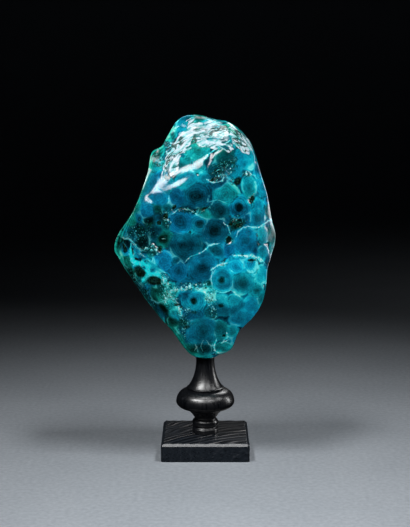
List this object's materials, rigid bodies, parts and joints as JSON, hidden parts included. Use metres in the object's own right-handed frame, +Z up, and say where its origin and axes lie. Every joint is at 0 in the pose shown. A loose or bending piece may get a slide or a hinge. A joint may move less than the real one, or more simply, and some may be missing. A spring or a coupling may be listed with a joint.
{
  "type": "mineral specimen on a turned stand",
  "caption": "Polished blue-green chrysocolla nugget with round banded eyes, pinned upright on a turned black wooden stem and a square plinth.",
  "frame": {"origin": "centre of the plinth's underside", "axes": "+Z up, the stone's show side faces -Y, +X to the right as the show side is seen"},
  "size_m": [0.1098, 0.06, 0.2319],
  "materials": {
    "chrysocolla": "polished",
    "ebonised_wood": "satin",
    "steel": "satin"
  },
  "bodies": {
    "root": {"stone": "chrysocolla", "mounting_pin": "steel", "stem": "ebonised_wood", "plinth": "ebonised_wood"}
  },
  "joints": []
}
